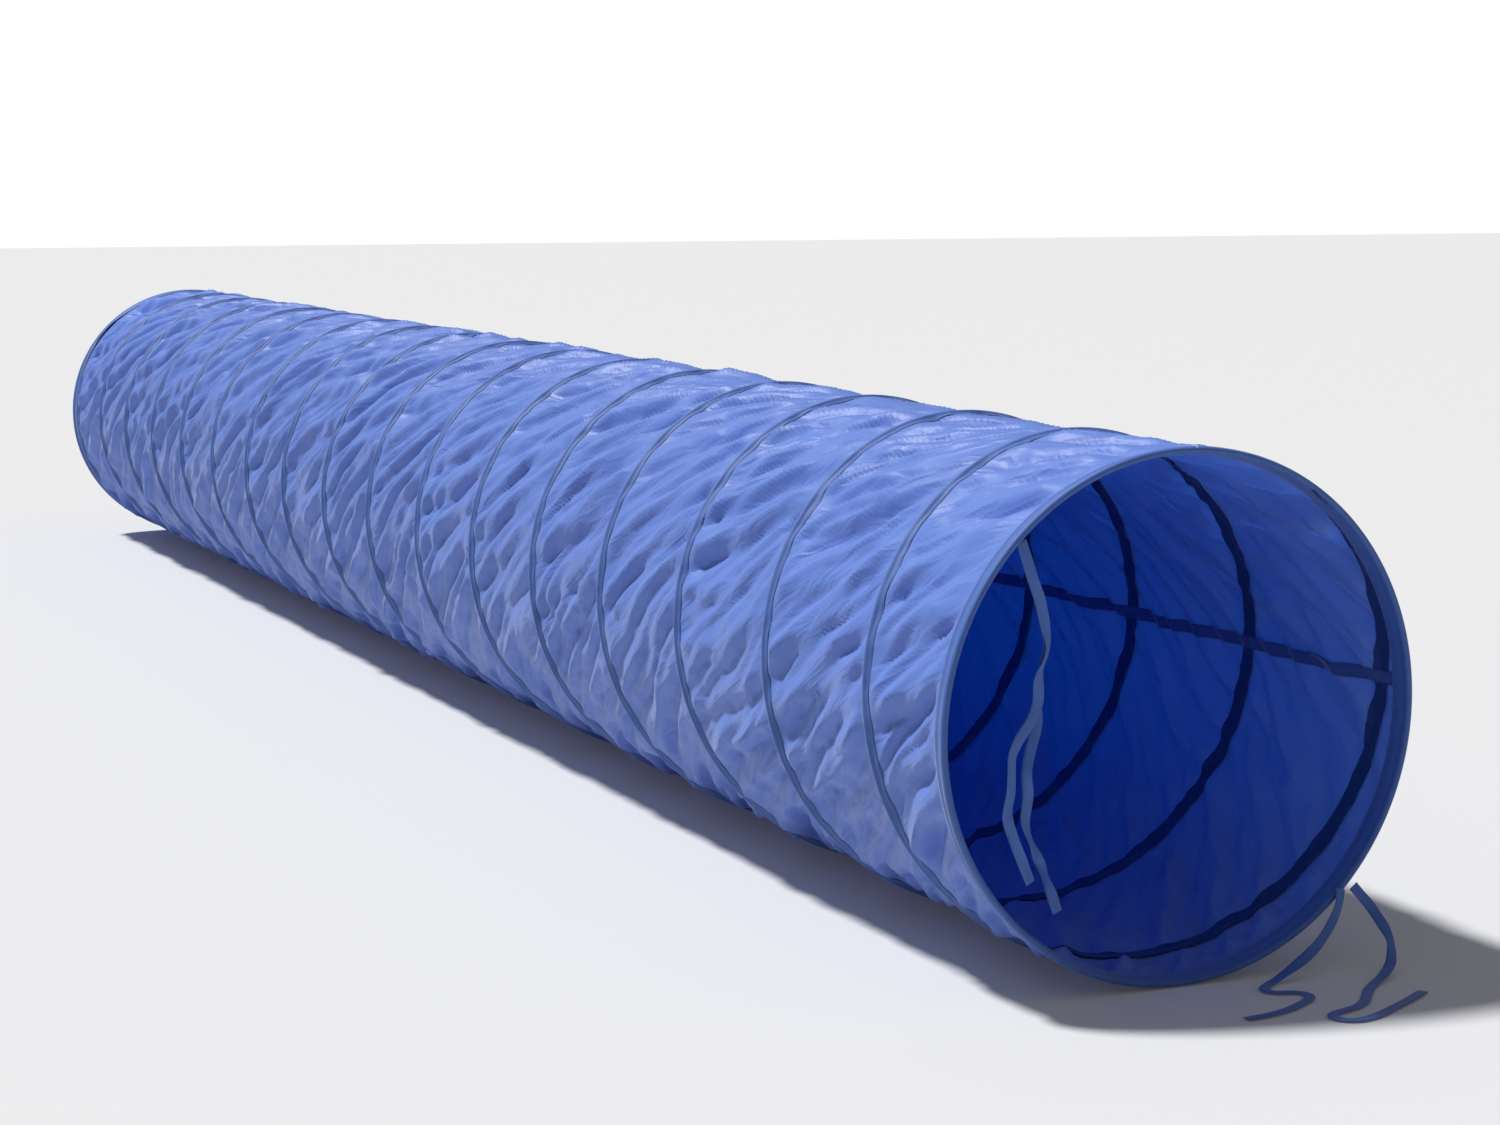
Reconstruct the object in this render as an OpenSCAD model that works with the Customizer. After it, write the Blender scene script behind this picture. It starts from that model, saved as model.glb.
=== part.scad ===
// Dog agility tunnel: a nylon sleeve held open by one long helical spring wire.
// The tunnel lies on the floor along Y with its entrance at -Y.
// It closes like an accordion, so every turn of the spring is a body of its own.

/* [Tunnel] */
// Outside diameter over the rims
tunnel_d = 600; // [560:10:640]
// Number of turns of the spring wire between the two end rings
turns = 17; // [6:1:17]
// Distance from one turn of the spring to the next
turn_pitch = 277; // [150:1:300]
// Part of a turn in which the spring leaves an end ring
lead_in = 0.18; // [0.1:0.01:0.25]

/* [Wire] */
// Thickness of the spring wire and of the end rings
wire_d = 3; // [2:0.5:3]
// Length of the crimped sleeve that joins the ends of the front ring
crimp_length = 26; // [16:1:40]

/* [Cloth] */
// Thickness of the sleeve cloth
cloth_t = 0.9; // [0.6:0.1:0.9]
// Width of the tape that cases the spring wire
casing_w = 16; // [12:1:22]
// Width of the binding folded over each end ring
binding_w = 26; // [20:1:35]
// Width of the seam tape along the inside of the sleeve
seam_w = 15; // [8:1:24]
// Direction of the seam, up from the side of the tunnel
seam_angle = 4; // [0:1:10]

/* [Ties] */
// Width of the tie ribbon
tie_w = 12; // [8:1:14]
// Thickness of the tie ribbon
tie_t = 2; // [1:0.5:2]

/* [Hidden] */
rim_r = tunnel_d / 2;
fold_r = 4;
binding_t = 0.8;
ring_r = rim_r - fold_r;
ring_y = fold_r;
cloth_r = rim_r - 5.9;
cloth_start = ring_y + 5;
spring_r = rim_r - 2.6;
spring_start = ring_y + wire_d + 1;
tunnel_l = 2 * spring_start + turn_pitch * (turns - lead_in);
casing_first = 0.2;
seam_depth = 0.7;
crimp_clearance = 0.05;
crimp_wall = 1.1;
body_gap = 0.3;
turn_gap = 0.0001;
steps_per_turn = 36;
wire_sides = 6;
ribbon_sides = 8;
$fn = 120;

// Half of the casing's section as [distance from the wire, distance in from the rim].
casing_outside = [[8, 3.7], [4.5, 3.6], [2.6, 0.25]];
casing_inside = [[2.15, 0.8], [3.4, 4.4], [8, 4.4]];

// Routes of the four ribbon tails for a 600 mm tunnel: x, y from the entrance plane, z.
route_size = tunnel_d / 600;
upper_left_route = [
    [-204, 6, 505], [-200, 4, 490], [-193, 2, 468], [-184, 1, 443], [-177, 1, 415], [-175, 1, 390],
    [-183, 2, 360], [-184, 2, 334], [-192, 1, 314], [-206, 0, 296], [-215, 0, 278], [-216, 0, 260],
    [-216, 1, 238], [-220, 1, 212], [-213, 1, 188], [-202, 1, 162], [-191, 1, 136]
];
upper_right_route = [
    [-201, 12, 506], [-196, 10, 490], [-189, 9, 468], [-180, 8, 443], [-173, 8, 415], [-171, 8, 390],
    [-179, 9, 360], [-180, 9, 334], [-182, 8, 306], [-189, 8, 280], [-194, 7, 256], [-192, 7, 230],
    [-195, 7, 203], [-187, 7, 178], [-175, 7, 152], [-164, 7, 126], [-154, 7, 99]
];
lower_left_route = [
    [206, -2, 92], [202, -6, 78], [194, -10, 64], [182, -14, 50], [166, -20, 37], [150, -24, 27],
    [134, -26, 18], [118, -27, 10], [102, -30, 4], [88, -37, 2], [77, -48, 2], [76, -60, 2],
    [86, -68, 2], [98, -72, 2], [106, -80, 2], [106, -92, 2], [96, -104, 2], [80, -114, 2],
    [56, -127, 2], [26, -136, 2], [-6, -140, 2]
];
lower_right_route = [
    [222, -3, 94], [230, -6, 84], [240, -9, 72], [249, -13, 58], [256, -19, 44], [257, -28, 32],
    [251, -39, 21], [240, -52, 13], [222, -66, 7], [200, -80, 3], [180, -97, 2], [164, -116, 2],
    [148, -134, 2], [130, -149, 2], [110, -158, 2], [94, -164, 2], [88, -174, 2], [97, -183, 2],
    [116, -183, 2], [140, -176, 2], [166, -163, 2], [198, -146, 2], [231, -126, 2]
];

// Distance of the spring wire behind the entrance plane after so many turns.
function turn_y(s) =
    s < lead_in ? spring_start + turn_pitch * s * s / (2 * lead_in) :
    s > turns - lead_in ? tunnel_l - spring_start - turn_pitch * pow(turns - s, 2) / (2 * lead_in) :
    spring_start + turn_pitch * (s - lead_in / 2);

// A point on the sleeve after s turns, which start at the top and go down the +X side.
function on_sleeve(s, y, r) =
    let (angle = 90 - 360 * s)
    [r * cos(angle), y, rim_r + r * sin(angle)];

// Evenly spaced stations from one number of turns to another.
function stations(first, last) =
    let (count = ceil((last - first) * steps_per_turn))
    [for (i = [0:count]) first + (last - first) * i / count];

function wire_ring(s) =
    [for (i = [0:wire_sides - 1])
        let (a = 360 * i / wire_sides)
        on_sleeve(s, turn_y(s) - wire_d / 2 * sin(a), spring_r + wire_d / 2 * cos(a))];

// The casing's whole section: the outside from left to right, then back along the inside.
function casing_outline() = concat(
    [for (p = casing_outside) [-p[0], p[1]]],
    [for (i = [2:-1:0]) casing_outside[i]],
    [for (i = [2:-1:0]) casing_inside[i]],
    [for (p = casing_inside) [-p[0], p[1]]]
);

function casing_ring(s) =
    [for (p = casing_outline())
        on_sleeve(s, turn_y(s) - p[0] * casing_w / 16, rim_r - p[1])];

function unit(v) = v / norm(v);

function heading(route, i) =
    unit(route[min(i + 1, len(route) - 1)] - route[max(i - 1, 0)]);

// A ribbon hangs with its face towards the entrance and lies flat on the floor.
function ribbon_ring(route, i) =
    let (
        lift = max(0, min(1, (route[i][2] - 5) / 40)),
        across = unit(cross(heading(route, i), [0, -lift, 1.001 - lift])),
        through = cross(across, heading(route, i))
    )
    [for (j = [0:ribbon_sides - 1])
        let (a = -360 * j / ribbon_sides)
        route[i] + across * tie_w / 2 * cos(a) + through * tie_t / 2 * sin(a)];

// A closed solid through rings of points that all have the same number of corners.
module sweep(rings) {
    corners = len(rings[0]);
    last = len(rings) - 1;
    polyhedron(
        points = [for (ring = rings) each ring],
        faces = concat(
            [[for (i = [0:corners - 1]) i]],
            [for (k = [0:last - 1]) for (i = [0:corners - 1])
                [k * corners + i, (k + 1) * corners + i, (k + 1) * corners + (i + 1) % corners]],
            [for (k = [0:last - 1]) for (i = [0:corners - 1])
                [k * corners + i, (k + 1) * corners + (i + 1) % corners, k * corners + (i + 1) % corners]],
            [[for (i = [corners - 1:-1:0]) last * corners + i]]
        )
    );
}

// Places what is modelled behind the entrance plane, with the tunnel centred along Y.
module centred() {
    translate([0, -tunnel_l / 2, 0]) children();
}

// Turns a profile's axis to lie along the tunnel, at its middle.
module along_tunnel(y) {
    translate([0, y, rim_r]) rotate([-90, 0, 0]) children();
}

module end_ring() {
    along_tunnel(ring_y) rotate_extrude() translate([ring_r, 0]) circle(d = wire_d, $fn = 32);
}

// The cloth strip that is folded over the end ring, open towards the sleeve.
module rim_binding() {
    along_tunnel(0) rotate_extrude() difference() {
        fold_profile(fold_r, binding_w);
        fold_profile(fold_r - binding_t, binding_w + 1);
    }
}

module fold_profile(r, reach) {
    translate([ring_r, ring_y]) circle(r = r, $fn = 48);
    translate([ring_r - r, ring_y]) square([2 * r, reach - ring_y]);
}

// What is at the front end, turned round to the rear end.
module at_rear() {
    translate([0, tunnel_l, 0]) mirror([0, 1, 0]) children();
}

module end_ring_front() {
    color("silver") centred() end_ring();
}

module end_ring_rear() {
    color("silver") centred() at_rear() end_ring();
}

module wire_crimp() {
    sweep_angle = crimp_length / ring_r * 180 / PI;
    color("gainsboro") centred() along_tunnel(ring_y)
        rotate([0, 0, -90 - sweep_angle / 2])
            rotate_extrude(angle = sweep_angle) translate([ring_r, 0]) difference() {
                circle(r = wire_d / 2 + crimp_wall, $fn = 32);
                circle(r = wire_d / 2 + crimp_clearance, $fn = 32);
            }
}

module rim_binding_front() {
    color("royalblue") centred() rim_binding();
}

module rim_binding_rear() {
    color("royalblue") centred() at_rear() rim_binding();
}

module spring_turn(k) {
    color("silver") centred()
        sweep([for (s = stations(k - 1 + turn_gap, k - turn_gap)) wire_ring(s)]);
}

module casing_turn(k) {
    first = max(k - 1 + turn_gap, casing_first);
    last = min(k - turn_gap, turns - casing_first);
    color("steelblue") centred()
        sweep([for (s = stations(first, last)) casing_ring(s)]);
}

// One turn's length of the sleeve, with the long seam's tape on its inside.
module fabric_bay(k) {
    first = k == 1 ? cloth_start : turn_y(k - 1) + body_gap / 2;
    last = k == turns ? tunnel_l - cloth_start : turn_y(k) - body_gap / 2;
    seam_first = max(first, binding_w + 1);
    seam_last = min(last, tunnel_l - binding_w - 1);
    color("cornflowerblue") centred() union() {
        along_tunnel(first) difference() {
            cylinder(h = last - first, r = cloth_r);
            translate([0, 0, -1]) cylinder(h = last - first + 2, r = cloth_r - cloth_t);
        }
        along_tunnel(seam_first) seam_tape(seam_last - seam_first);
    }
}

module seam_tape(length) {
    half_angle = seam_w / 2 / cloth_r * 180 / PI;
    rotate([0, 0, -seam_angle - half_angle])
        rotate_extrude(angle = 2 * half_angle)
            translate([cloth_r - cloth_t - seam_depth, 0]) square([seam_depth + cloth_t / 2, length]);
}

module ribbon_tail(route) {
    color("royalblue") centred() scale(route_size)
        sweep([for (i = [0:len(route) - 1]) ribbon_ring(route, i)]);
}

module tie_upper_left() { ribbon_tail(upper_left_route); }
module tie_upper_right() { ribbon_tail(upper_right_route); }
module tie_lower_left() { ribbon_tail(lower_left_route); }
module tie_lower_right() { ribbon_tail(lower_right_route); }

end_ring_front();
end_ring_rear();
wire_crimp();
rim_binding_front();
rim_binding_rear();
tie_upper_left();
tie_upper_right();
tie_lower_left();
tie_lower_right();
for (k = [1:turns]) {
    spring_turn(k);
    casing_turn(k);
    fabric_bay(k);
}
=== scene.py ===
"""Looks of the agility tunnel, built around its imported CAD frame. All lengths are in metres."""
import math

import bpy
import numpy as np
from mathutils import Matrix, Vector


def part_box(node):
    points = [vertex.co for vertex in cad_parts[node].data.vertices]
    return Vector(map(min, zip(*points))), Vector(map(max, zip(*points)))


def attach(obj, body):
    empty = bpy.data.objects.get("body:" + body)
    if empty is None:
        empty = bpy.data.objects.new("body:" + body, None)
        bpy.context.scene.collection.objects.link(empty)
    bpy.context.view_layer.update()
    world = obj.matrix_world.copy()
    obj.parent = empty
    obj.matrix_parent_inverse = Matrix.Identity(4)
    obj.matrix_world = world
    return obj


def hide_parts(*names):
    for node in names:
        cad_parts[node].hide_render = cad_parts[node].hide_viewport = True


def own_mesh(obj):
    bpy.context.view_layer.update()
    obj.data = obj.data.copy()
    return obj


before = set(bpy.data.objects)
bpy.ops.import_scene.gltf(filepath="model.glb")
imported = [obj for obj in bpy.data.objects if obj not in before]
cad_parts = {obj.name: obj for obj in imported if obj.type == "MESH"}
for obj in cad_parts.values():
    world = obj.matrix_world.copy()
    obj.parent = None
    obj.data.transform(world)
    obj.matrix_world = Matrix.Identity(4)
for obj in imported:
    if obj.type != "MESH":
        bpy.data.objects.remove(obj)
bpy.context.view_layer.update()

# ---------------------------------------------------------------- sizes taken from the frame
front_low, front_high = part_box("rim_binding_front")
rear_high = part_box("rim_binding_rear")[1]
bay_low, bay_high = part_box("fabric_bay_9")
FRONT_Y = front_low[1]
REAR_Y = rear_high[1]
BINDING_W = front_high[1] - front_low[1]
RIM_R = (front_high[2] - front_low[2]) / 2
CENTRE_Z = (front_high[2] + front_low[2]) / 2
CLOTH_R = (bay_high[0] - bay_low[0]) / 2
LENGTH = REAR_Y - FRONT_Y

# ---------------------------------------------------------------- driving dimensions
# The spring: its turns, the part of a turn in which its pitch sets in, and its distance from the ends.
TURNS = 17
LEAD_IN = 0.18
SPRING_START = 0.008
PITCH = (LENGTH - 2 * SPRING_START) / (TURNS - LEAD_IN)
# The long seam's place: degrees above the level of the axis on the +X side, and turns from the top.
SEAM_ANGLE = 4
SEAM_TURN = (90 - SEAM_ANGLE) / 360
WIRE_R = 0.0015
SPRING_R = RIM_R - 0.0026
# How many turns after the spring's end the casing tape and its lining start.
CASING_FIRST = 0.2
CASING_HALF_W = 0.0088
LINING_FIRST = 0.09
LINING_HALF_W = 0.0125
FOLD_R = 0.004
RING_OF_BEAD = RIM_R - FOLD_R
LEG_START = 0.006
BINDING_OUTER_R = CLOTH_R + 0.0012
BINDING_INNER_R = CLOTH_R - 0.0038
TIE_W = 0.012
TIE_T = 0.0007
# Lowest places of cloth and tape where the tunnel rests on the floor.
CLOTH_FLOOR = 0.0006
TAPE_FLOOR = 0.0003

BODY_OF_TURN = ["entrance"] + [f"turn_{k}" for k in range(2, TURNS + 1)]


# ---------------------------------------------------------------- geometry helpers
def turn_y(s):
    """Distance of the spring wire behind the entrance plane after s turns, for an array."""
    s = np.asarray(s, float)
    y = SPRING_START + PITCH * (s - LEAD_IN / 2)
    ease_in = SPRING_START + PITCH * s**2 / (2 * LEAD_IN)
    ease_out = LENGTH - SPRING_START - PITCH * (TURNS - s) ** 2 / (2 * LEAD_IN)
    y = np.where(s < LEAD_IN, ease_in, y)
    return np.where(s > TURNS - LEAD_IN, ease_out, y)


def edge_y(s):
    """The line that the cloth is sewn to: an end ring before and after the spring, else the spring."""
    s = np.asarray(s, float)
    y = turn_y(np.clip(s, 0, TURNS))
    y = np.where(s < 0, FOLD_R, y)
    return np.where(s > TURNS, LENGTH - FOLD_R, y)


def on_tunnel(s, y, r):
    """Points s turns round from the top, down the +X side, y behind the entrance, r from the axis."""
    angle = np.radians(90 - 360 * np.asarray(s, float))
    return np.stack(
        np.broadcast_arrays(r * np.cos(angle), FRONT_Y + y, CENTRE_Z + r * np.sin(angle)), -1
    )


def smooth_step(x):
    """Eases from 0 to 1 as x goes from 0 to 1."""
    x = np.clip(x, 0, 1)
    return x * x * (3 - 2 * x)


def smooth_noise(x, y, seed, period=256):
    """Value noise between -1 and 1 with a lattice spacing of 1, repeating along x after the period."""
    table = np.random.default_rng(seed).uniform(-1, 1, (256, 256))
    xi, yi = np.floor(x).astype(int), np.floor(y).astype(int)
    fx, fy = x - xi, y - yi
    fx, fy = fx * fx * (3 - 2 * fx), fy * fy * (3 - 2 * fy)

    def at(i, j):
        return table[i % period, j % 256]

    low = at(xi, yi) * (1 - fx) + at(xi + 1, yi) * fx
    high = at(xi, yi + 1) * (1 - fx) + at(xi + 1, yi + 1) * fx
    return low * (1 - fy) + high * fy


def facet_noise(x, y, seed, period=256):
    """Flat triangles between random heights, so that neighbours meet in sharp folds."""
    random = np.random.default_rng(seed)
    table = random.uniform(-1, 1, (256, 256))
    flip = random.random((256, 256)) < 0.35
    xi, yi = np.floor(x).astype(int), np.floor(y).astype(int)
    fx, fy = x - xi, y - yi

    def at(i, j):
        return table[i % period, j % 256]

    a, b, c, d = at(xi, yi), at(xi + 1, yi), at(xi, yi + 1), at(xi + 1, yi + 1)
    rising = np.where(fx > fy, a + fx * (b - a) + fy * (d - b), a + fy * (c - a) + fx * (d - c))
    near = a + fx * (b - a) + fy * (c - a)
    far = d + (1 - fx) * (c - d) + (1 - fy) * (b - d)
    falling = np.where(fx + fy < 1, near, far)
    return np.where(flip[xi % period, yi % 256], rising, falling)


def pleat_noise(x, y, seed, period=256, steep=0.33):
    """Folds one unit apart: each rises over its steep part and falls over the rest, unevenly."""
    table = np.random.default_rng(seed).uniform(0.05, 1, (512, 256))
    fold, yi = np.floor(x).astype(int), np.floor(y).astype(int)
    share, fy = x - fold, y - yi
    rising = share < steep
    fx = np.where(rising, share / steep, (share - steep) / (1 - steep))
    column = 2 * fold + np.where(rising, 0, 1)

    def at(i, j):
        return np.where(i % 2 == 0, -1, 1) * table[i % (2 * period), j % 256]

    a, b, c, d = at(column, yi), at(column + 1, yi), at(column, yi + 1), at(column + 1, yi + 1)
    return np.where(fx > fy, a + fx * (b - a) + fy * (d - b), a + fy * (c - a) + fx * (d - c))


def add_mesh(name, points, faces):
    """A smooth-shaded object from points and faces."""
    mesh = bpy.data.meshes.new(name)
    mesh.from_pydata([tuple(p) for p in points], [], [tuple(int(i) for i in f) for f in faces])
    mesh.update()
    mesh.polygons.foreach_set("use_smooth", [True] * len(mesh.polygons))
    piece = bpy.data.objects.new(name, mesh)
    bpy.context.collection.objects.link(piece)
    return piece


def set_uv(piece, uv):
    """One UV coordinate for each vertex, in metres along and across the cloth."""
    layer = piece.data.uv_layers.new(name="cloth")
    corner = np.empty(len(piece.data.loops), int)
    piece.data.loops.foreach_get("vertex_index", corner)
    layer.data.foreach_set("uv", np.asarray(uv, np.float32)[corner].ravel())


def grid_faces(rows, columns, closed=False):
    """Quads over a grid of points stored row by row; closed joins the last row to the first."""
    count = rows if closed else rows - 1
    i, j = np.meshgrid(np.arange(count), np.arange(columns - 1), indexing="ij")
    a = (i * columns + j).ravel()
    b = (((i + 1) % rows) * columns + j).ravel()
    return np.stack([a, b, b + 1, a + 1], 1)


def close_with_tunnel(piece, k):
    """The piece rides on the body of turn k + 1, with a mesh of its own."""
    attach(piece, BODY_OF_TURN[k])
    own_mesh(piece)


# ---------------------------------------------------------------- camera
def make_camera():
    data = bpy.data.cameras.new("camera")
    data.lens = 71.9
    data.sensor_width = 36
    data.clip_end = 60
    camera = bpy.data.objects.new("camera", data)
    bpy.context.collection.objects.link(camera)
    camera.location = (-1.729, FRONT_Y - 2.760, 0.896)
    camera.rotation_euler = (math.radians(90 - 7.47), 0, math.radians(-23.65))
    bpy.context.scene.camera = camera


make_camera()


# ---------------------------------------------------------------- materials
class Nodes:
    """A short way to build a node tree."""

    def __init__(self, name):
        self.material = bpy.data.materials.new(name)
        self.material.use_nodes = True
        self.tree = self.material.node_tree
        self.tree.nodes.clear()

    def add(self, kind, values=None, **settings):
        node = self.tree.nodes.new(kind)
        for key, value in settings.items():
            setattr(node, key, value)
        for key, value in (values or {}).items():
            if isinstance(value, bpy.types.NodeSocket):
                self.tree.links.new(value, node.inputs[key])
            else:
                node.inputs[key].default_value = value
        return node

    def math(self, operation, a, b=0.0):
        return self.add("ShaderNodeMath", {0: a, 1: b}, operation=operation).outputs[0]

    def finish(self, shader):
        self.add("ShaderNodeOutputMaterial", {"Surface": shader})
        return self.material


def crumple_height(m, apart, length, slant):
    """Fine creases across the cloth's own coordinates, in sharp folds."""
    uv = m.add("ShaderNodeUVMap", uv_map="cloth").outputs[0]
    parts = m.add("ShaderNodeSeparateXYZ", {0: uv})
    lean = m.math("MULTIPLY", parts.outputs[1], slant)
    x = m.math("DIVIDE", m.math("ADD", parts.outputs[0], lean), apart)
    y = m.math("DIVIDE", parts.outputs[1], length)
    place = m.add("ShaderNodeCombineXYZ", {0: x, 1: y}).outputs[0]
    shape = {"Vector": place, "Scale": 1.0, "Detail": 2.0, "Distortion": 0.6}
    noise = m.add("ShaderNodeTexNoise", shape)
    return m.math("ABSOLUTE", m.math("SUBTRACT", noise.outputs[0], 0.5))


def weave_height(m, thread=0.0006):
    """A fine plain weave from the cloth's own coordinates."""
    uv = m.add("ShaderNodeUVMap", uv_map="cloth").outputs[0]
    along = m.add("ShaderNodeSeparateXYZ", {0: uv})
    step = 2 * math.pi / (2 * thread)
    a = m.math("SINE", m.math("MULTIPLY", along.outputs[0], step))
    b = m.math("SINE", m.math("MULTIPLY", along.outputs[1], step))
    return m.math("MULTIPLY", a, b)


def cloth_material(name, reflect, through, see_through, roughness, sheen, patch=0.12):
    """Thin woven nylon: a satin surface that lets some coloured light through."""
    m = Nodes(name)
    where = m.add("ShaderNodeTexCoord").outputs["Object"]
    blotch = m.add("ShaderNodeTexNoise", {"Vector": where, "Scale": 7.0, "Detail": 4.0}).outputs[0]
    fine = m.add("ShaderNodeTexNoise", {"Vector": where, "Scale": 90.0, "Detail": 3.0}).outputs[0]
    tone = m.math("ADD", m.math("MULTIPLY", blotch, patch), m.math("MULTIPLY", fine, patch / 2))
    dark = [c * 0.86 for c in reflect]
    light = [min(1, c * 1.12) for c in reflect]
    colour = m.add("ShaderNodeMix", {0: m.math("MULTIPLY", tone, 4.0), 6: (*dark, 1), 7: (*light, 1)},
                   data_type="RGBA").outputs[2]
    height = m.math("ADD", m.math("MULTIPLY", weave_height(m), 0.35), fine)
    weave = m.add("ShaderNodeBump", {"Strength": 0.12, "Distance": 0.0006, "Height": height}).outputs[0]
    wide = crumple_height(m, 0.026, 0.080, 0.6)
    folds = {"Strength": 0.8, "Distance": 0.007, "Height": wide, "Normal": weave}
    bump = m.add("ShaderNodeBump", folds).outputs[0]
    satin = {"Base Color": colour, "Roughness": roughness, "Normal": bump,
             "Sheen Weight": sheen, "Sheen Roughness": 0.35, "Specular IOR Level": 0.38}
    surface = m.add("ShaderNodeBsdfPrincipled", satin).outputs[0]
    glow = m.add("ShaderNodeBsdfTranslucent", {"Color": (*through, 1), "Normal": bump}).outputs[0]
    return m.finish(m.add("ShaderNodeMixShader", {0: see_through, 1: surface, 2: glow}).outputs[0])


def tape_material(name, reflect, rows=(), roughness=0.6):
    """Woven tape with rows of stitches at given distances across it."""
    m = Nodes(name)
    uv = m.add("ShaderNodeUVMap", uv_map="cloth").outputs[0]
    parts = m.add("ShaderNodeSeparateXYZ", {0: uv})
    along, across = parts.outputs[0], parts.outputs[1]
    noise = m.add("ShaderNodeTexNoise", {"Vector": m.add("ShaderNodeTexCoord").outputs["Object"],
                  "Scale": 60.0, "Detail": 4.0}).outputs[0]
    dark = [c * 0.8 for c in reflect]
    light = [min(1, c * 1.15) for c in reflect]
    tones = {0: noise, 6: (*dark, 1), 7: (*light, 1)}
    colour = m.add("ShaderNodeMix", tones, data_type="RGBA").outputs[2]
    rib = m.math("SINE", m.math("MULTIPLY", along, 2 * math.pi / 0.0012))
    height = m.math("ADD", m.math("MULTIPLY", rib, 0.25), m.math("MULTIPLY", noise, 1.5))
    stitch_length = 0.0032
    phase = m.math("FRACT", m.math("DIVIDE", along, stitch_length))
    dash = m.math("LESS_THAN", phase, 0.72)
    for row in rows:
        near = m.math("LESS_THAN", m.math("ABSOLUTE", m.math("SUBTRACT", across, row)), 0.00035)
        thread = m.math("MULTIPLY", near, dash)
        colour = m.add("ShaderNodeMix", {0: thread, 6: colour, 7: (*[c * 0.45 for c in reflect], 1)},
                       data_type="RGBA").outputs[2]
        height = m.math("SUBTRACT", height, m.math("MULTIPLY", near, 2.0))
    bump = m.add("ShaderNodeBump", {"Strength": 0.35, "Distance": 0.0005, "Height": height}).outputs[0]
    woven = {"Base Color": colour, "Roughness": roughness, "Normal": bump,
             "Sheen Weight": 0.25, "Sheen Roughness": 0.4}
    surface = m.add("ShaderNodeBsdfPrincipled", woven).outputs[0]
    return m.finish(surface)


def metal_material(name, colour, roughness):
    """Bare metal with a faint grain."""
    m = Nodes(name)
    where = m.add("ShaderNodeTexCoord").outputs["Object"]
    noise = m.add("ShaderNodeTexNoise", {"Vector": where, "Scale": 400.0, "Detail": 3.0}).outputs[0]
    rough = m.math("ADD", m.math("MULTIPLY", noise, 0.2), roughness)
    bump = m.add("ShaderNodeBump", {"Strength": 0.2, "Distance": 0.0002, "Height": noise}).outputs[0]
    return m.finish(m.add("ShaderNodeBsdfPrincipled", {"Base Color": (*colour, 1), "Metallic": 1.0,
                    "Roughness": rough, "Normal": bump}).outputs[0])


NYLON = cloth_material("sleeve_nylon", (0.145, 0.250, 0.67), (0.001, 0.120, 0.82), 0.19, 0.46, 0.20)
# Painted shade: the sewn edges inside get a near-black blue and little see-through, standing in for the
# shade where doubled cloth and tape block the light.
SHADED_SEWN_NYLON = cloth_material("sewn_nylon_painted_shade", (0.012, 0.04, 0.17), (0.002, 0.015, 0.10), 0.02, 0.5, 0.1)
CASING = tape_material("casing_tape", (0.045, 0.115, 0.38), rows=(-0.0072, 0.0072))
BINDING = tape_material("rim_tape", (0.042, 0.115, 0.40))
SEAM = tape_material("seam_tape", (0.03, 0.07, 0.28), rows=(-0.0055, 0.0055))
RIBBON = tape_material("tie_ribbon", (0.050, 0.130, 0.44))
THREAD = tape_material("sewing_thread", (0.05, 0.12, 0.42))
WHITE_THREAD = tape_material("white_thread", (0.75, 0.76, 0.8))
STEEL = metal_material("spring_steel", (0.55, 0.56, 0.58), 0.28)
ALUMINIUM = metal_material("crimp_aluminium", (0.75, 0.76, 0.78), 0.35)


def give(piece, material):
    """The piece's only material."""
    piece.data.materials.clear()
    piece.data.materials.append(material)


# ---------------------------------------------------------------- sleeve
CELL = 0.0050
CIRCLE = 2 * math.pi * CLOTH_R
# Cells in one turn round the sleeve.
ROUND = int(round(CIRCLE / CELL))
CLOTH_BASE_R = CLOTH_R + 0.0013
# How far the cloth hangs in between two turns of the wire.
SAG = 0.005
# Distances from a sewn line that get a row of points.
SEWN = (0.0, 0.0044, 0.0088)


def row_places():
    """Where the rows of points lie between two turns of the spring, as shares of the distance."""
    inner = np.linspace(SEWN[-1], PITCH - SEWN[-1], int(round((PITCH - 2 * SEWN[-1]) / CELL)) + 1)
    rows = np.concatenate([SEWN[:-1], inner, [PITCH - d for d in SEWN[:0:-1]][1:]])
    return np.sort(np.unique(np.round(np.append(rows, PITCH - SEWN[1]), 6))) / PITCH


ROWS = row_places()


def sleeve_grid():
    """The sleeve as one strip that winds round with the spring: s, v of each point, and its quads."""
    first, last = -ROUND, TURNS * ROUND
    seen = {}
    places = []

    def point(i, j):
        if j == len(ROWS):
            if i + ROUND <= last:
                return point(i + ROUND, 0)
            v = 1.0
        else:
            v = ROWS[j]
        key = (i, j)
        if key not in seen:
            seen[key] = len(places)
            places.append((i / ROUND, v))
        return seen[key]

    quads = []
    station = []
    for i in range(first, last):
        for j in range(len(ROWS)):
            quads.append([point(i, j), point(i, j + 1), point(i + 1, j + 1), point(i + 1, j)])
            station.append(i / ROUND)
    places = np.array(places)
    return places[:, 0], places[:, 1], np.array(quads), np.array(station)


def ring_noise(around, along, width, length, seed, noise=smooth_noise):
    """Noise that closes on itself round the sleeve."""
    count = max(3, int(round(CIRCLE / width)))
    return noise(around / CIRCLE * count, along / length, seed, count)


# Folds of the cloth: kind, distance apart, length, half height, lean towards the axis, seed.
FOLDS = (
    (pleat_noise, 0.076, 0.170, 0.0140, 0.62, 4),
    (pleat_noise, 0.043, 0.100, 0.0072, 0.85, 5),
    (facet_noise, 0.030, 0.060, 0.0036, 0.30, 6),
    (facet_noise, 0.018, 0.030, 0.0016, 0.90, 7),
)


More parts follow.
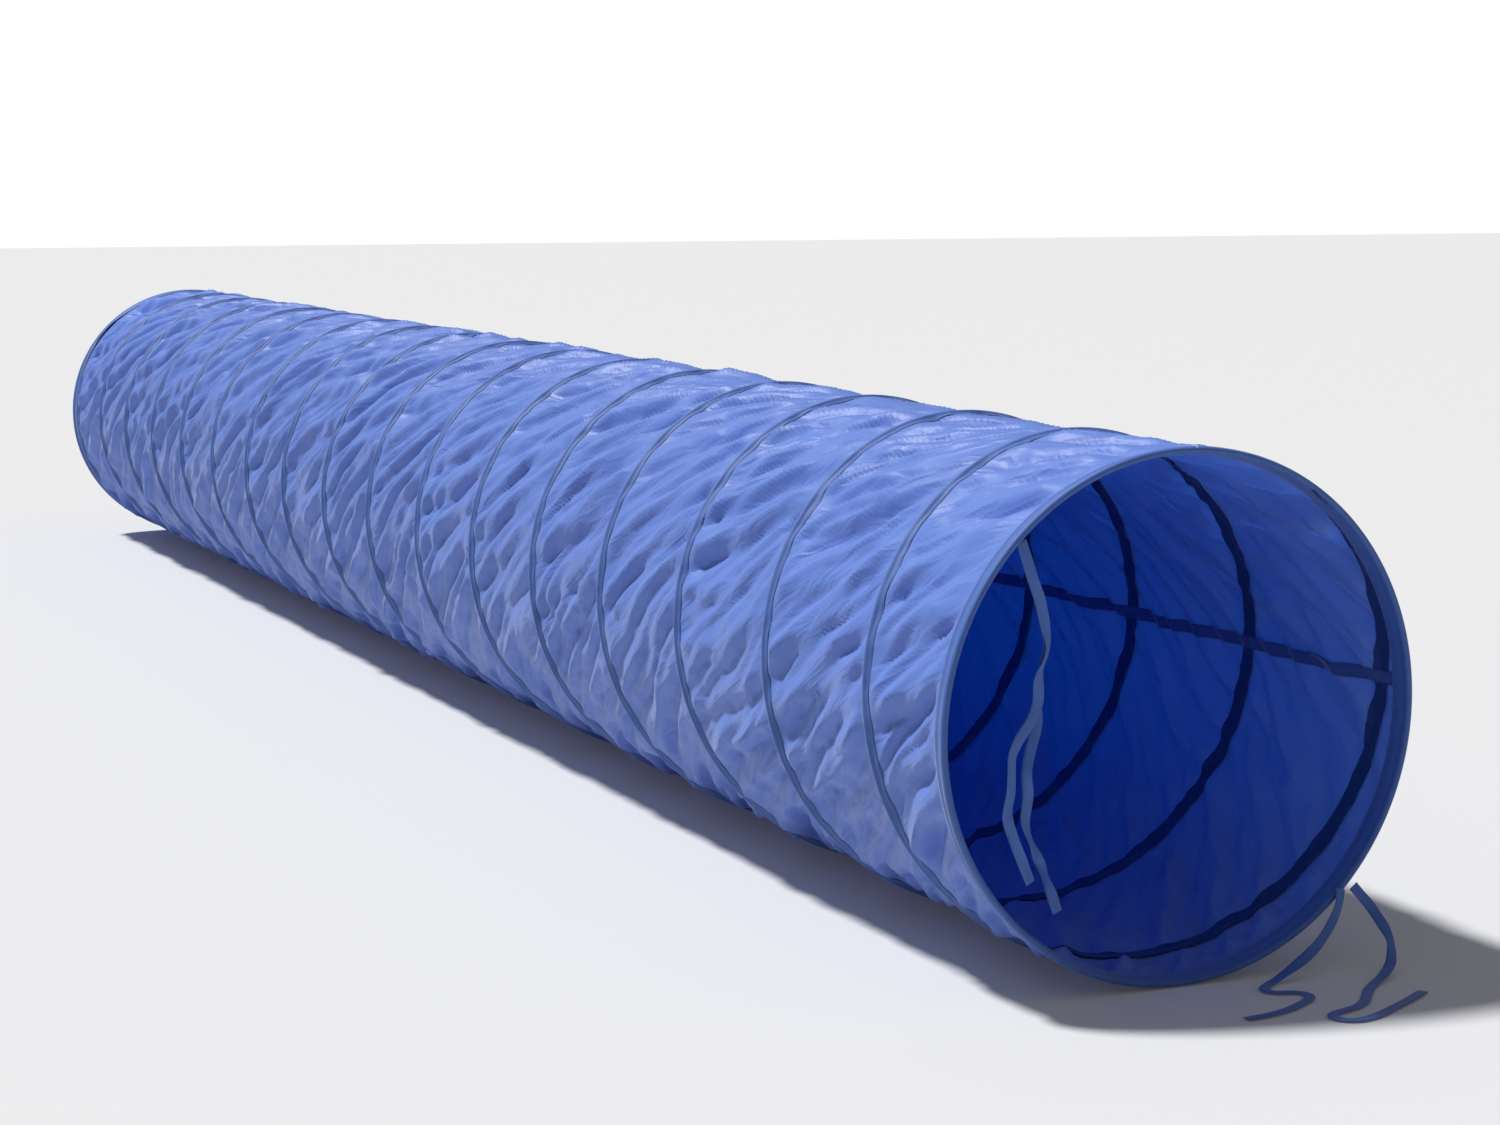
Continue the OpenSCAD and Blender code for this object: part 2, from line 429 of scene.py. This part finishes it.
def crease_height(around, along):
    """How far the creases lift the cloth, at metres around the sleeve and along it."""
    height = 0
    for kind, apart, length, amount, lean, seed in FOLDS:
        bend = 0.50 * apart * ring_noise(around, along, 3.0 * apart, 1.1 * length, seed + 10)
        slide = 0.70 * length * ring_noise(around, along, 1.3 * apart, 1.2 * length, seed + 20)
        across = around + lean * along + bend
        height = height + amount * ring_noise(across, along + slide, apart, length, seed, kind)
    return np.where(height > 0, 0.8 * height, height)


def cloth_offset(around, along, near):
    """How far the cloth lies outside its base radius; near is the distance to the nearest sewn line."""
    rise = np.clip((near - 0.002) / 0.030, 0, 1)
    bow = 1 - (1 - np.clip(near / (PITCH / 2), 0, 1)) ** 2
    height = crease_height(around, along) * rise - SAG * bow
    height = np.minimum(height, 0.0002 + 0.5 * np.maximum(0, near - 0.0105))
    from_end = np.minimum(along, LENGTH - along)
    free = np.clip((from_end - BINDING_W - 0.002) / 0.03, 0, 1)
    return height * free - 0.0016 * (1 - free)


def make_sleeve():
    """The whole sleeve is shaped as one sheet, then cut under the tape and the long seam into bays."""
    s, v, quads, station = sleeve_grid()
    low, high = edge_y(s), edge_y(s + 1)
    y = low + (high - low) * v
    height = cloth_offset(CIRCLE * s, y, np.minimum(y - low, high - y))
    points = on_tunnel(s, y, CLOTH_BASE_R + height)
    points[:, 2] = np.maximum(points[:, 2], CLOTH_FLOOR)
    uv = np.stack([CIRCLE * s, y], 1)
    cuts = [-1.0] + [k + SEAM_TURN for k in range(0, TURNS - 1)] + [TURNS]
    for k in range(TURNS):
        chosen = (station >= cuts[k] - 1e-9) & (station < cuts[k + 1] - 1e-9)
        mine = quads[chosen]
        used, where = np.unique(mine, return_inverse=True)
        piece = add_mesh(f"sleeve_bay_{k + 1}", points[used], where.reshape(mine.shape))
        set_uv(piece, uv[used])
        give(piece, NYLON)
        close_with_tunnel(piece, k)
        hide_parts(f"fabric_bay_{k + 1}")


make_sleeve()


# ---------------------------------------------------------------- casing tape and spring wire
def wound_strip(k, profile, half_width, radius_of, skip, per_turn=360):
    """Points, cloth coordinates and quads of a strip along turn k, skip turns short of the ends."""
    first = max(k, skip)
    last = min(k + 1, TURNS - skip)
    s = np.linspace(first, last, int((last - first) * per_turn) + 1)
    around = CIRCLE * s
    kink = 0.0016 * facet_noise(around / 0.033, 0 * s, 21)
    rows, uv = [], []
    for across in profile:
        edge = 0.0013 * across * facet_noise(around / 0.019, 0 * s + 2 * across, 23)
        y = turn_y(s) + across * half_width + kink + edge
        lie = cloth_offset(around, y, np.abs(y - turn_y(s)))
        row = on_tunnel(s, y, radius_of(lie, across, around, y - turn_y(s)))
        row[:, 2] = np.maximum(row[:, 2], TAPE_FLOOR)
        rows.append(row)
        uv.append(np.stack([around, 0 * s + across * half_width], 1))
    points = np.stack(rows, 1).reshape(-1, 3)
    return points, np.stack(uv, 1).reshape(-1, 2), grid_faces(len(s), len(profile))


def add_wound(name, k, strip, material, outward):
    """Adds a strip of turn k, facing away from the axis or towards it."""
    points, uv, faces = strip
    piece = add_mesh(f"{name}_{k + 1}", points, faces[:, ::-1] if outward else faces)
    set_uv(piece, uv)
    give(piece, material)
    close_with_tunnel(piece, k)
    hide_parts(f"casing_turn_{k + 1}")


def make_casing():
    """The tape that cases the wire, outside, and the cloth's sewn edges that it hides, inside, as a dark
    strip of painted shade where the doubled cloth lets no light through.
    """

    def outside(lie, across, around, from_wire):
        hump = 0.0027 * np.exp(-((from_wire / 0.0032) ** 4))
        crinkle = 0.0010 * abs(across) * facet_noise(around / 0.015, 0 * around + 0.7 * across, 22)
        return CLOTH_BASE_R + lie + 0.0008 + 0.0014 * (1 - across**2) + hump + 0.4 * crinkle

    def inside(lie, across, around, from_wire):
        crinkle = 0.0008 * abs(across) * facet_noise(around / 0.020, 0 * around + 0.7 * across, 24)
        return CLOTH_BASE_R + np.minimum(lie, 0) - 0.0022 + crinkle

    outer = (-1.0, -0.8, -0.6, -0.42, -0.28, -0.14, 0, 0.14, 0.28, 0.42, 0.6, 0.8, 1.0)
    inner = (-1.0, -0.6, -0.2, 0.2, 0.6, 1.0)
    for k in range(TURNS):
        tape = wound_strip(k, outer, CASING_HALF_W, outside, CASING_FIRST)
        add_wound("casing_tape", k, tape, CASING, True)
        # Inside, the sewn edges are a dark strip of painted shade.
        lining = wound_strip(k, inner, LINING_HALF_W, inside, LINING_FIRST)
        add_wound("casing_lining_painted_shade", k, lining, SHADED_SEWN_NYLON, False)


def make_spring():
    """The wire of each turn, a tube round the helix."""
    sides, per_turn = 8, 120
    for k in range(TURNS):
        s = np.linspace(k, k + 1, per_turn + 1)
        rings = []
        for i in range(sides + 1):
            a = 2 * math.pi * i / sides
            rings.append(on_tunnel(s, turn_y(s) - WIRE_R * math.sin(a), SPRING_R + WIRE_R * math.cos(a)))
        points = np.stack(rings, 1).reshape(-1, 3)
        piece = add_mesh(f"spring_wire_{k + 1}", points, grid_faces(len(s), sides + 1))
        give(piece, STEEL)
        close_with_tunnel(piece, k)
        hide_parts(f"spring_turn_{k + 1}")


make_casing()
make_spring()


# ---------------------------------------------------------------- long seam
def make_seam():
    """The seam tape on the inside of the sleeve, one length for each turn."""
    half = 0.0075
    across = np.linspace(-1, 1, 7)
    sewn = edge_y(SEAM_TURN + np.arange(-1, TURNS + 1))
    for k in range(TURNS):
        first = BINDING_W if k == 0 else float(turn_y(k))
        last = LENGTH - BINDING_W if k == TURNS - 1 else float(turn_y(k + 1))
        y = np.linspace(first, last, 60)
        near = np.abs(y[:, None] - sewn[None, :]).min(axis=1)
        rows, uv = [], []
        for c in across:
            s = SEAM_TURN + c * half / CIRCLE
            lie = cloth_offset(np.full_like(y, CIRCLE * s), y, near)
            pucker = 0.0006 * smooth_noise(y / 0.02, np.full_like(y, c), 31)
            rows.append(on_tunnel(np.full_like(y, s), y, CLOTH_BASE_R + lie - 0.0028 - pucker))
            uv.append(np.stack([y, np.full_like(y, c * half)], 1))
        points = np.stack(rows, 1).reshape(-1, 3)
        piece = add_mesh(f"long_seam_{k + 1}", points, grid_faces(len(y), len(across)))
        set_uv(piece, np.stack(uv, 1).reshape(-1, 2))
        give(piece, SEAM)
        close_with_tunnel(piece, k)


make_seam()


# ---------------------------------------------------------------- rim bindings
def binding_profile():
    """The folded strip's section: distance from the end face, distance from the axis, and which leg."""
    leg = np.linspace(BINDING_W, LEG_START, 11)
    outside = [(y, RIM_R, 1) for y in leg]
    turn = np.linspace(1.35, -1.35, 13)
    bead = [(FOLD_R - FOLD_R * math.cos(a), RING_OF_BEAD + FOLD_R * math.sin(a), 0) for a in turn]
    inside = [(y, RING_OF_BEAD - FOLD_R, -1) for y in leg[::-1]]
    return outside + bead + inside


def make_binding(name, node, body, rear, seed):
    """The strip folded over the end ring; its legs close onto the cloth and over the spring's end."""
    profile = binding_profile()
    stations = 420
    s = np.arange(stations) / stations
    around = 2 * math.pi * RIM_R * s
    cosine, sine = np.cos(2 * math.pi * s), np.sin(2 * math.pi * s)
    wire = LENGTH - turn_y(TURNS - 1 + s) if rear else turn_y(s)
    lands = np.where(wire < BINDING_W, np.maximum(wire + 2 * WIRE_R, LEG_START), LEG_START)
    easing = 0.010
    rows, uv = [], []
    length = 0
    for n, (y, r, leg) in enumerate(profile):
        if n:
            length += math.dist(profile[n - 1][:2], (y, r))
        loose = max(0, (y - 0.008) / BINDING_W)
        turned = smooth_noise(12 * cosine + 40, 12 * sine + n * 0.15, seed)
        ripple = 0.0011 * loose * turned
        edge = 0.0012 * loose * smooth_noise(9 * cosine + 80, 9 * sine + 3, seed + 1)
        if leg > 0:
            r = r + (BINDING_OUTER_R - r) * smooth_step((y - lands) / easing)
        if leg < 0:
            r = r + (BINDING_INNER_R - r) * smooth_step((y - LEG_START) / easing)
        depth = y + edge
        rows.append(on_tunnel(s, LENGTH - depth if rear else depth, r - 0.0004 + 0.6 * ripple))
        uv.append(np.stack([around, np.full_like(s, length)], 1))
    points = np.stack(rows, 1).reshape(-1, 3)
    faces = grid_faces(stations, len(profile), closed=True)
    piece = add_mesh(name, points, faces if rear else faces[:, ::-1])
    set_uv(piece, np.stack(uv, 1).reshape(-1, 2))
    give(piece, BINDING)
    thick = piece.modifiers.new("thick", "SOLIDIFY")
    thick.thickness = 0.0007
    thick.offset = -1
    bpy.context.view_layer.objects.active = piece
    with bpy.context.temp_override(object=piece, active_object=piece):
        bpy.ops.object.modifier_apply(modifier=thick.name)
    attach(piece, body)
    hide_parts(node)


make_binding("front_binding", "rim_binding_front", "entrance", False, 41)
make_binding("rear_binding", "rim_binding_rear", "far_end", True, 51)


# ---------------------------------------------------------------- stitches on the bindings
def make_stitches(name, body, rear):
    """Lockstitches along the binding's loose edge, outside, as small threads."""
    pitch = 0.0034
    count = int(2 * math.pi * RIM_R / pitch)
    points, faces = [], []
    row = BINDING_W - 0.003
    y = LENGTH - row if rear else row
    quads = ([0, 3, 4, 1], [1, 4, 5, 2], [3, 6, 7, 4], [4, 7, 8, 5])
    for i in range(count):
        base = len(points)
        for share, lift in ((0.1, 0.0001), (0.4, 0.0006), (0.7, 0.0001)):
            for dy, dr in ((-0.0004, 0), (0, 0.0004), (0.0004, 0)):
                points.append(on_tunnel((i + share) / count, y + dy, BINDING_OUTER_R + lift + dr))
        faces += [[base + c for c in quad] for quad in quads]
    piece = add_mesh(name, np.array(points), faces)
    set_uv(piece, np.zeros((len(points), 2)))
    give(piece, THREAD)
    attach(piece, body)


make_stitches("front_stitches", "entrance", False)
make_stitches("rear_stitches", "far_end", True)


def make_thread_end():
    """A white thread left over the rim at its top, where the binding's ends meet."""
    sides, radius = 6, 0.0005
    y = np.array([0.0005, 0.002, 0.005, 0.009, 0.013, 0.017])
    s = 0.004 + np.array([0.0, 0.0004, 0.0002, -0.0006, -0.0002, 0.0010])
    r = RIM_R + np.array([-0.003, 0.0002, 0.0006, 0.0004, -0.0012, -0.0030])
    centre = on_tunnel(s, y, r)
    rings = []
    for i in range(sides + 1):
        a = 2 * math.pi * i / sides
        rings.append(centre + radius * np.array([math.cos(a), 0.3 * math.sin(a), math.sin(a)]))
    points = np.stack(rings, 1).reshape(-1, 3)
    piece = add_mesh("white_thread_end", points, grid_faces(len(y), sides + 1))
    set_uv(piece, np.zeros((len(points), 2)))
    give(piece, WHITE_THREAD)
    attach(piece, "entrance")


make_thread_end()


# ---------------------------------------------------------------- ties
# Routes of the four ribbon tails: x, y from the entrance plane, z.
ROUTES = {
    "tie_upper_left": [
        (-0.204, 0.006, 0.505), (-0.200, 0.004, 0.490), (-0.193, 0.002, 0.468), (-0.184, 0.001, 0.443),
        (-0.177, 0.001, 0.415), (-0.175, 0.001, 0.390), (-0.183, 0.002, 0.360), (-0.184, 0.002, 0.334),
        (-0.192, 0.001, 0.314), (-0.206, 0.000, 0.296), (-0.215, 0.000, 0.278), (-0.216, 0.000, 0.260),
        (-0.216, 0.001, 0.238), (-0.220, 0.001, 0.212), (-0.213, 0.001, 0.188), (-0.202, 0.001, 0.162),
        (-0.191, 0.001, 0.136),
    ],
    "tie_upper_right": [
        (-0.201, 0.012, 0.506), (-0.196, 0.010, 0.490), (-0.189, 0.009, 0.468), (-0.180, 0.008, 0.443),
        (-0.173, 0.008, 0.415), (-0.171, 0.008, 0.390), (-0.179, 0.009, 0.360), (-0.180, 0.009, 0.334),
        (-0.182, 0.008, 0.306), (-0.189, 0.008, 0.280), (-0.194, 0.007, 0.256), (-0.192, 0.007, 0.230),
        (-0.195, 0.007, 0.203), (-0.187, 0.007, 0.178), (-0.175, 0.007, 0.152), (-0.164, 0.007, 0.126),
        (-0.154, 0.007, 0.099),
    ],
    "tie_lower_left": [
        (0.206, -0.002, 0.092), (0.202, -0.006, 0.078), (0.194, -0.010, 0.064), (0.182, -0.014, 0.050),
        (0.166, -0.020, 0.037), (0.150, -0.024, 0.027), (0.134, -0.026, 0.018), (0.118, -0.027, 0.010),
        (0.102, -0.030, 0.004), (0.088, -0.037, 0.002), (0.077, -0.048, 0.002), (0.076, -0.060, 0.002),
        (0.086, -0.068, 0.002), (0.098, -0.072, 0.002), (0.106, -0.080, 0.002), (0.106, -0.092, 0.002),
        (0.096, -0.104, 0.002), (0.080, -0.114, 0.002), (0.056, -0.127, 0.002), (0.026, -0.136, 0.002),
        (-0.006, -0.140, 0.002),
    ],
    "tie_lower_right": [
        (0.222, -0.003, 0.094), (0.230, -0.006, 0.084), (0.240, -0.009, 0.072), (0.249, -0.013, 0.058),
        (0.256, -0.019, 0.044), (0.257, -0.028, 0.032), (0.251, -0.039, 0.021), (0.240, -0.052, 0.013),
        (0.222, -0.066, 0.007), (0.200, -0.080, 0.003), (0.180, -0.097, 0.002), (0.164, -0.116, 0.002),
        (0.148, -0.134, 0.002), (0.130, -0.147, 0.002), (0.110, -0.154, 0.002), (0.092, -0.160, 0.002),
        (0.083, -0.172, 0.002), (0.089, -0.185, 0.002), (0.106, -0.190, 0.002), (0.134, -0.182, 0.002),
        (0.166, -0.165, 0.002), (0.198, -0.147, 0.002), (0.231, -0.126, 0.002),
    ],
}


def smooth_path(points, steps=6):
    """A Catmull-Rom curve through the points."""
    p = np.array(points, float)
    p = np.vstack([2 * p[0] - p[1], p, 2 * p[-1] - p[-2]])
    out = []
    for i in range(1, len(p) - 2):
        for t in np.arange(steps) / steps:
            out.append(0.5 * (2 * p[i] + (p[i + 1] - p[i - 1]) * t
                       + (2 * p[i - 1] - 5 * p[i] + 4 * p[i + 1] - p[i + 2]) * t**2
                       + (3 * p[i] - p[i - 1] - 3 * p[i + 1] + p[i + 2]) * t**3))
    out.append(p[-2])
    return np.array(out)


def make_tie(node, seed):
    """One flat tail of ribbon along its route, twisting where it hangs."""
    route = smooth_path([(x, FRONT_Y + y, z) for x, y, z in ROUTES[node]])
    step = np.linalg.norm(np.diff(route, axis=0), axis=1)
    far = np.concatenate([[0], np.cumsum(step)])
    heading = np.gradient(route, axis=0)
    heading /= np.linalg.norm(heading, axis=1)[:, None]
    lift = np.clip((route[:, 2] - 0.005) / 0.04, 0, 1)
    # The flat side faces out of the entrance while the ribbon hangs, and upwards on the floor.
    upwards = 1.001 - lift
    face = np.stack([0 * lift, -lift, upwards], 1)
    across = np.cross(heading, face)
    across /= np.linalg.norm(across, axis=1)[:, None]
    through = np.cross(across, heading)
    twist = 1.5 * lift * smooth_noise(far / 0.042, 0 * far + 0.5, seed) * np.clip(far / 0.05, 0, 1)
    side = across * np.cos(twist)[:, None] + through * np.sin(twist)[:, None]
    up = through * np.cos(twist)[:, None] - across * np.sin(twist)[:, None]
    rows, uv = [], []
    top = [(-1, 1), (-0.5, 1.15), (0, 1.2), (0.5, 1.15), (1, 1)]
    outline = top + [(1, -1), (0, -0.9), (-1, -1), (-1, 1)]
    for c, t in outline:
        rows.append(route + side * (c * TIE_W / 2) + up * (t * TIE_T / 2))
        uv.append(np.stack([far, np.full_like(far, c * TIE_W / 2)], 1))
    points = np.stack(rows, 1).reshape(-1, 3)
    faces = grid_faces(len(route), len(outline))
    piece = add_mesh(node + "_ribbon", points, faces)
    set_uv(piece, np.stack(uv, 1).reshape(-1, 2))
    give(piece, RIBBON)
    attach(piece, "entrance")
    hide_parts(node)


for number, tie in enumerate(ROUTES):
    make_tie(tie, 61 + number)


# ---------------------------------------------------------------- CAD nodes that stay
for node in ("end_ring_front", "end_ring_rear"):
    give(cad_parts[node], STEEL)
give(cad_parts["wire_crimp"], ALUMINIUM)


# ---------------------------------------------------------------- studio
def make_floor():
    """A white sheet that glows a little, as a light table does."""
    side, z = 30, -0.0004
    corners = [(-side, -side, z), (side, -side, z), (side, side, z), (-side, side, z)]
    floor = add_mesh("floor", corners, [(0, 1, 2, 3)])
    m = Nodes("studio_floor")
    white = (0.58, 0.58, 0.585, 1)
    floor.data.materials.append(m.finish(m.add("ShaderNodeBsdfPrincipled", {
        "Base Color": white, "Roughness": 0.9, "Specular IOR Level": 0.1,
        "Emission Color": white, "Emission Strength": 0.05}).outputs[0]))


def add_sun(name, towards, angle, strength):
    """A distant lamp; towards points from the object to the lamp."""
    data = bpy.data.lights.new(name, "SUN")
    data.angle = math.radians(angle)
    data.energy = strength
    lamp = bpy.data.objects.new(name, data)
    bpy.context.collection.objects.link(lamp)
    lamp.location = Vector(towards) * 6
    lamp.rotation_euler = Vector(towards).to_track_quat("Z", "Y").to_euler()


def make_light():
    """A white studio: the sky is white to look at and softer as a light."""
    world = bpy.data.worlds.new("studio")
    bpy.context.scene.world = world
    world.use_nodes = True
    tree = world.node_tree
    background = tree.nodes["Background"]
    background.inputs[0].default_value = (1, 1, 1, 1)
    seen = tree.nodes.new("ShaderNodeLightPath")
    level = tree.nodes.new("ShaderNodeMapRange")
    level.inputs["To Min"].default_value = 0.22
    level.inputs["To Max"].default_value = 1.0
    tree.links.new(seen.outputs["Is Camera Ray"], level.inputs["Value"])
    tree.links.new(level.outputs[0], background.inputs[1])
    add_sun("key", (-0.36, 0.32, 0.88), 6, 4.3)
    bpy.context.scene.view_settings.view_transform = "Standard"


make_floor()
make_light()

bpy.context.view_layer.update()
